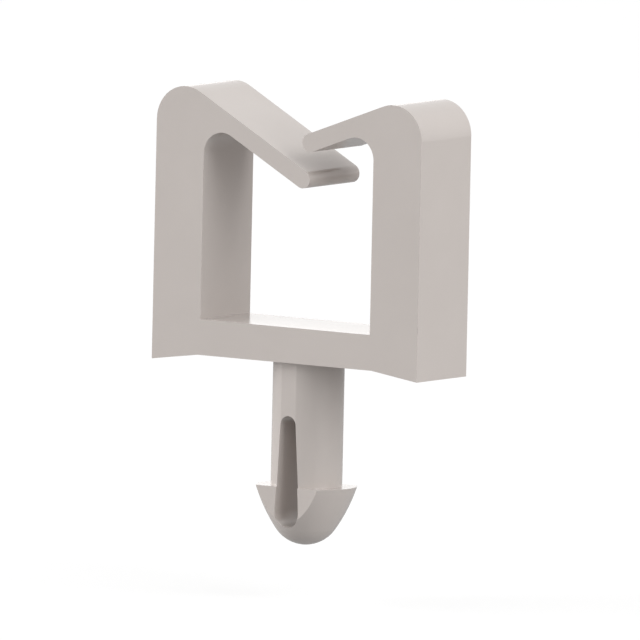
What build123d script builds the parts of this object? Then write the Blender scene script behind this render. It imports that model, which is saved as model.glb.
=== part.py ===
from build123d import *
import os
from math import cos, radians, sin

# Push-in wire saddle clip, one piece of moulded nylon.
#
# A square loop holds the wires. Two spring arms close its top: the wires are pushed down
# between them, and the lower arm passes under the upper one and keeps them in. The round
# stem below is pushed through a hole in a panel. Its slot lets the two legs close as the
# barbs go through, and the feet beside it bear on the panel from above.
#
# Millimetres. X across the loop, Y along the wires, Z up. The origin is on the stem's axis,
# at the flat underside of the loop.

# Loop
loop_width = 17.5
loop_depth = 4.75
loop_height = 14.6
leg_width = 3.15
base_thickness = 1.95
outer_radius = 1.9
inner_radius = 1.2

# Feet, which slope down from the flat underside to the outer corners
foot_run = 3.0
foot_drop = 0.425

# Spring arms, each with a fully rounded tip
arm_thickness = 1.0
lower_arm_angle = 28.3
lower_arm_tip_x = 1.43
upper_arm_angle = 20.8
upper_arm_tip_x = 0.89

# Stem, for a 4 mm hole. The grip is the length from the flat underside to the barbs.
stem_diameter = 3.9
stem_flats = 3.78
grip_length = 6.85

# Arrowhead
barb_diameter = 5.54
arrowhead_height = 3.25
nose_radius = 1.95
nose_sweep = 56.0

# Slot between the two legs of the stem, narrow at the top. The bridge below it joins them.
slot_top_depth = 2.95
slot_top_width = 1.0
slot_bottom_width = 1.56
slot_bridge = 1.05


# One side of the loop, seen from the front: foot, leg and spring arm, as far as the
# centre line. side is -1 for the left and 1 for the right.
def half_loop(side, arm_angle, tip_x):
    wall_x = side * loop_width / 2
    inner_x = side * (loop_width / 2 - leg_width)
    foot_x = side * (loop_width / 2 - foot_run)
    tip_radius = arm_thickness / 2

    with BuildSketch(Plane.XZ) as half:
        with BuildLine():
            outer_wall = Line((wall_x, -foot_drop), (wall_x, loop_height - outer_radius))
            outer_round = JernArc(
                start=outer_wall @ 1,
                tangent=outer_wall % 1,
                radius=outer_radius,
                arc_size=side * (90 + arm_angle),
            )
            # The rounded tip ends at tip_x
            slope = radians(arm_angle)
            arm_run = abs((outer_round @ 1).X - tip_x) - tip_radius * (1 - sin(slope))
            arm_top = PolarLine(
                outer_round @ 1, arm_run / cos(slope), direction=outer_round % 1
            )
            tip = JernArc(
                start=arm_top @ 1,
                tangent=arm_top % 1,
                radius=tip_radius,
                arc_size=side * 180,
            )
            inner_wall = Line(
                (inner_x, base_thickness), (inner_x, loop_height), mode=Mode.PRIVATE
            )
            underside = IntersectingLine(tip @ 1, tip % 1, inner_wall)
            Polyline(
                underside @ 1,
                (inner_x, base_thickness),
                (0, base_thickness),
                (0, 0),
                (foot_x, 0),
                outer_wall @ 0,
            )
        make_face()
        fillet(half.vertices().sort_by_distance(underside @ 1)[0], radius=inner_radius)
    return half.sketch


# The stem and its arrowhead are turned about Z, cut flat at the front and back, and slotted
with BuildPart() as push_stem:
    stem_length = grip_length + arrowhead_height
    with BuildSketch(Plane.XZ):
        with BuildLine():
            barb_point = (barb_diameter / 2, -grip_length)
            nose = CenterArc(
                (0, nose_radius - stem_length), nose_radius, -90, nose_sweep
            )
            TangentArc(nose @ 1, barb_point, tangent=nose % 1)
            Polyline(
                barb_point,
                (stem_diameter / 2, -grip_length),
                (stem_diameter / 2, base_thickness / 2),
                (0, base_thickness / 2),
                nose @ 0,
            )
        make_face()
    revolve(axis=Axis.Z)
    front_flat = Plane.XZ.offset(stem_flats / 2)
    back_flat = Plane.XZ.offset(-stem_flats / 2)
    split(bisect_by=front_flat, keep=Keep.BOTTOM)
    split(bisect_by=back_flat, keep=Keep.TOP)

    with BuildSketch(Plane.XZ):
        slot_bottom_depth = stem_length - slot_bridge
        with Locations((0, -slot_top_depth - slot_top_width / 2)):
            Circle(slot_top_width / 2)
        with Locations((0, -slot_bottom_depth + slot_bottom_width / 2)):
            Circle(slot_bottom_width / 2)
        make_hull()
    extrude(amount=barb_diameter, both=True, mode=Mode.SUBTRACT)


with BuildPart() as saddle_clip:
    lower_arm_side = half_loop(-1, lower_arm_angle, lower_arm_tip_x)
    upper_arm_side = half_loop(1, upper_arm_angle, upper_arm_tip_x)
    extrude(lower_arm_side, amount=loop_depth / 2, both=True)
    extrude(upper_arm_side, amount=loop_depth / 2, both=True)
    add(push_stem.part)

saddle_clip.part.label = "saddle_clip"

os.makedirs("parts", exist_ok=True)
export_step(saddle_clip.part, "parts/saddle_clip.step")
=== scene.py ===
from math import cos, radians, sin

import bpy
from mathutils import Matrix, Vector


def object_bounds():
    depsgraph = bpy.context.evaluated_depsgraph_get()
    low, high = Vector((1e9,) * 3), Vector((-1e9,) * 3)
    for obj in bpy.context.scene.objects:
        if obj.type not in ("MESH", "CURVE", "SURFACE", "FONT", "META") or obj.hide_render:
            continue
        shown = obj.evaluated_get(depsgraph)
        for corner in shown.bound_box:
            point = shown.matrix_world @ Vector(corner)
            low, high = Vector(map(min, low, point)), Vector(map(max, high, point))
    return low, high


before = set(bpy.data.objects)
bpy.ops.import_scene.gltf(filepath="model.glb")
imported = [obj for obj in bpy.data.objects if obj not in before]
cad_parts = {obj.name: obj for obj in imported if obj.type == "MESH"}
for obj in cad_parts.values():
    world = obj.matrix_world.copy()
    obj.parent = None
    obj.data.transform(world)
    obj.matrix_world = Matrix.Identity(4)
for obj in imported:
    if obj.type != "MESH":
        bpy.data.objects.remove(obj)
cadLow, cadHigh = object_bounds()
print("packed model loaded")

millimetre = 0.001


# An sRGB hex colour as the linear colour that a shader takes
def linearColour(code):
    channels = [int(code[start:start + 2], 16) / 255 for start in (1, 3, 5)]
    linear = [c / 12.92 if c <= 0.04045 else ((c + 0.055) / 1.055) ** 2.4 for c in channels]
    return linear + [1]


# Adds one node. settings are its properties or input values, links are its inputs' sources.
def addNode(tree, kind, settings=None, links=None):
    node = tree.nodes.new(kind)
    for name, value in (settings or {}).items():
        if isinstance(name, int) or name in node.inputs:
            node.inputs[name].default_value = value
        else:
            setattr(node, name, value)
    for name, source in (links or {}).items():
        tree.links.new(source, node.inputs[name])
    return node


def emptyTree(owner):
    owner.use_nodes = True
    owner.node_tree.nodes.clear()
    return owner.node_tree


# Natural nylon 66, injection moulded. Undyed nylon is a warm light grey, opaque at this
# thickness. The mould's fine spark-eroded skin gives it an even satin face, with soft
# reflections that only show at a grazing view, and damp and flow cloud it very slightly.
nylon = {
    "paleColour": "#CBC3BE",
    "deepColour": "#C5BDB8",
    "cloudSize": 3.2,  # mm
    "roughness": 0.2,
    "roughnessSpread": 0.04,  # up and down over the grain
    "skinGrain": 0.16,  # mm, really about 0.03, drawn coarser so that it shows
    "skinDepth": 0.0016,  # mm
    "refraction": 1.53,
}


def makeNylon():
    material = bpy.data.materials.new("mouldedNaturalNylon66")
    tree = emptyTree(material)
    place = addNode(tree, "ShaderNodeTexCoord")
    cloud = addNode(
        tree,
        "ShaderNodeTexNoise",
        {"Scale": 1 / (nylon["cloudSize"] * millimetre), "Detail": 3, "Roughness": 0.5},
        {"Vector": place.outputs["Object"]},
    )
    colour = addNode(
        tree,
        "ShaderNodeMix",
        {
            "data_type": "RGBA",
            6: linearColour(nylon["deepColour"]),  # the colour where the noise is 0
            7: linearColour(nylon["paleColour"]),  # and where it is 1
        },
        {"Factor": cloud.outputs["Fac"]},
    )
    skin = addNode(
        tree,
        "ShaderNodeTexNoise",
        {"Scale": 1 / (nylon["skinGrain"] * millimetre), "Detail": 2, "Roughness": 0.6},
        {"Vector": place.outputs["Object"]},
    )
    relief = addNode(
        tree,
        "ShaderNodeBump",
        {"Strength": 1, "Distance": nylon["skinDepth"] * millimetre},
        {"Height": skin.outputs["Fac"]},
    )
    gloss = addNode(
        tree,
        "ShaderNodeMapRange",
        {
            "To Min": nylon["roughness"] - nylon["roughnessSpread"],
            "To Max": nylon["roughness"] + nylon["roughnessSpread"],
        },
        {"Value": skin.outputs["Fac"]},
    )
    surface = addNode(
        tree,
        "ShaderNodeBsdfPrincipled",
        {"IOR": nylon["refraction"]},
        {
            "Base Color": colour.outputs[2],  # the mixed colour
            "Roughness": gloss.outputs["Result"],
            "Normal": relief.outputs["Normal"],
        },
    )
    addNode(tree, "ShaderNodeOutputMaterial", links={"Surface": surface.outputs["BSDF"]})
    return material


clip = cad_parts["saddle_clip"]
nylonMaterial = makeNylon()
for slot in clip.material_slots:
    slot.material = nylonMaterial
print("clip finished in moulded nylon")


# Plain floor of matt paper a little below the nose of the stem. The camera sees it white,
# with the clip's soft shadow. It sends only grey light up, so that undersides stay darker.
floor = {
    "halfWidth": 3000,  # mm
    "drop": 3.0,  # mm below the nose
    "paper": "#A3A3A3",
    "whiteSeen": 0.622,  # light added for the camera, so that the lit paper is white
    "whiteReflected": 0.08,  # light added where it is reflected or seen through
}


def makeFloor():
    height = cadLow.z - floor["drop"] * millimetre
    reach = floor["halfWidth"] * millimetre
    corners = [(-reach, -reach), (reach, -reach), (reach, reach), (-reach, reach)]
    mesh = bpy.data.meshes.new("studioFloor")
    mesh.from_pydata([(x, y, height) for x, y in corners], [], [(0, 1, 2, 3)])
    piece = bpy.data.objects.new("studioFloor", mesh)
    bpy.context.scene.collection.objects.link(piece)

    material = bpy.data.materials.new("mattWhitePaper")
    tree = emptyTree(material)
    rays = addNode(tree, "ShaderNodeLightPath")
    mirror = addNode(
        tree,
        "ShaderNodeMath",
        {"operation": "MAXIMUM"},
        {0: rays.outputs["Is Glossy Ray"], 1: rays.outputs["Is Transmission Ray"]},
    )
    reflected = addNode(
        tree,
        "ShaderNodeMath",
        {"operation": "MULTIPLY", 1: floor["whiteReflected"]},
        {0: mirror.outputs[0]},
    )
    white = addNode(
        tree,
        "ShaderNodeMath",
        {"operation": "MULTIPLY_ADD", 1: floor["whiteSeen"]},
        {0: rays.outputs["Is Camera Ray"], 2: reflected.outputs[0]},
    )
    paper = addNode(tree, "ShaderNodeBsdfDiffuse", {"Color": linearColour(floor["paper"])})
    glow = addNode(tree, "ShaderNodeEmission", links={"Strength": white.outputs[0]})
    both = addNode(
        tree,
        "ShaderNodeAddShader",
        links={0: paper.outputs[0], 1: glow.outputs[0]},
    )
    addNode(tree, "ShaderNodeOutputMaterial", links={"Surface": both.outputs[0]})
    mesh.materials.append(material)


makeFloor()
print("floor laid")


# A white room with two large softboxes, at the right and at the front left, and a low panel
# opposite the camera that the top of the base mirrors. The lamps face the clip, and the
# camera doesn't see them.
studio = {
    "colour": "#FFFFFF",
    "roomLight": 0.6,  # brightness as a light, where 1 is white
    "roomReflected": 1.0,  # as it is reflected
    "roomSeen": 1.0,  # as the camera sees it
    # watts, width and height in mm, place in mm
    "lamps": {
        "rightSoftbox": (7.7, 870, 1200, (925, -65, 493)),
        "leftSoftbox": (10.7, 1100, 840, (-892, -422, 359)),
        "backPanel": (0.45, 1000, 220, (-585, 836, 107)),
    },
}


def makeRoom():
    world = bpy.data.worlds.new("whiteRoom")
    bpy.context.scene.world = world
    tree = emptyTree(world)
    rays = addNode(tree, "ShaderNodeLightPath")
    mirror = addNode(
        tree,
        "ShaderNodeMath",
        {"operation": "MAXIMUM"},
        {0: rays.outputs["Is Glossy Ray"], 1: rays.outputs["Is Transmission Ray"]},
    )
    lighting, reflected, seen = [
        addNode(
            tree,
            "ShaderNodeBackground",
            {"Color": linearColour(studio["colour"]), "Strength": studio[use]},
        )
        for use in ("roomLight", "roomReflected", "roomSeen")
    ]
    unseen = addNode(
        tree,
        "ShaderNodeMixShader",
        links={0: mirror.outputs[0], 1: lighting.outputs[0], 2: reflected.outputs[0]},
    )
    both = addNode(
        tree,
        "ShaderNodeMixShader",
        links={0: rays.outputs["Is Camera Ray"], 1: unseen.outputs[0], 2: seen.outputs[0]},
    )
    addNode(tree, "ShaderNodeOutputWorld", links={"Surface": both.outputs[0]})


def makeLamp(name, power, width, height, place):
    lamp = bpy.data.lights.new(name, "AREA")
    lamp.shape = "RECTANGLE"
    lamp.energy = power
    lamp.size = width * millimetre
    lamp.size_y = height * millimetre
    piece = bpy.data.objects.new(name, lamp)
    piece.location = Vector(place) * millimetre
    piece.rotation_euler = piece.location.to_track_quat("Z", "Y").to_euler()
    piece.visible_camera = False
    bpy.context.scene.collection.objects.link(piece)


makeRoom()
for lampName, (power, width, height, place) in studio["lamps"].items():
    makeLamp(lampName, power, width, height, place)
print("room and lamps lit")


# The view is drawn without perspective, from the front right and a little above
camera = {
    "azimuth": 34.54,  # degrees from the front towards the right side
    "elevation": 5.91,  # degrees
    "roll": 1.23,  # degrees
    "aim": (0.324, 0.494, 2.155),  # mm, the point at the middle of the picture
    "frameWidth": 34.787,  # mm
    "distance": 200,  # mm from the aim
    "nearest": 1,  # mm, where the drawing starts
    "farthest": 10000,  # mm, and where it ends
}


def makeCamera():
    azimuth, elevation = radians(camera["azimuth"]), radians(camera["elevation"])
    across, up = cos(elevation), sin(elevation)
    towards = Vector((sin(azimuth) * across, -cos(azimuth) * across, up))
    data = bpy.data.cameras.new("viewCamera")
    data.type = "ORTHO"
    data.ortho_scale = camera["frameWidth"] * millimetre
    data.clip_start = camera["nearest"] * millimetre
    data.clip_end = camera["farthest"] * millimetre
    piece = bpy.data.objects.new("viewCamera", data)
    place = (Vector(camera["aim"]) + towards * camera["distance"]) * millimetre
    roll = Matrix.Rotation(radians(camera["roll"]), 3, "Z")
    turn = towards.to_track_quat("Z", "Y").to_matrix() @ roll
    piece.matrix_world = Matrix.LocRotScale(place, turn.to_quaternion(), None)
    bpy.context.scene.collection.objects.link(piece)
    bpy.context.scene.camera = piece


makeCamera()
bpy.context.scene.view_settings.view_transform = "Standard"
print("camera set")
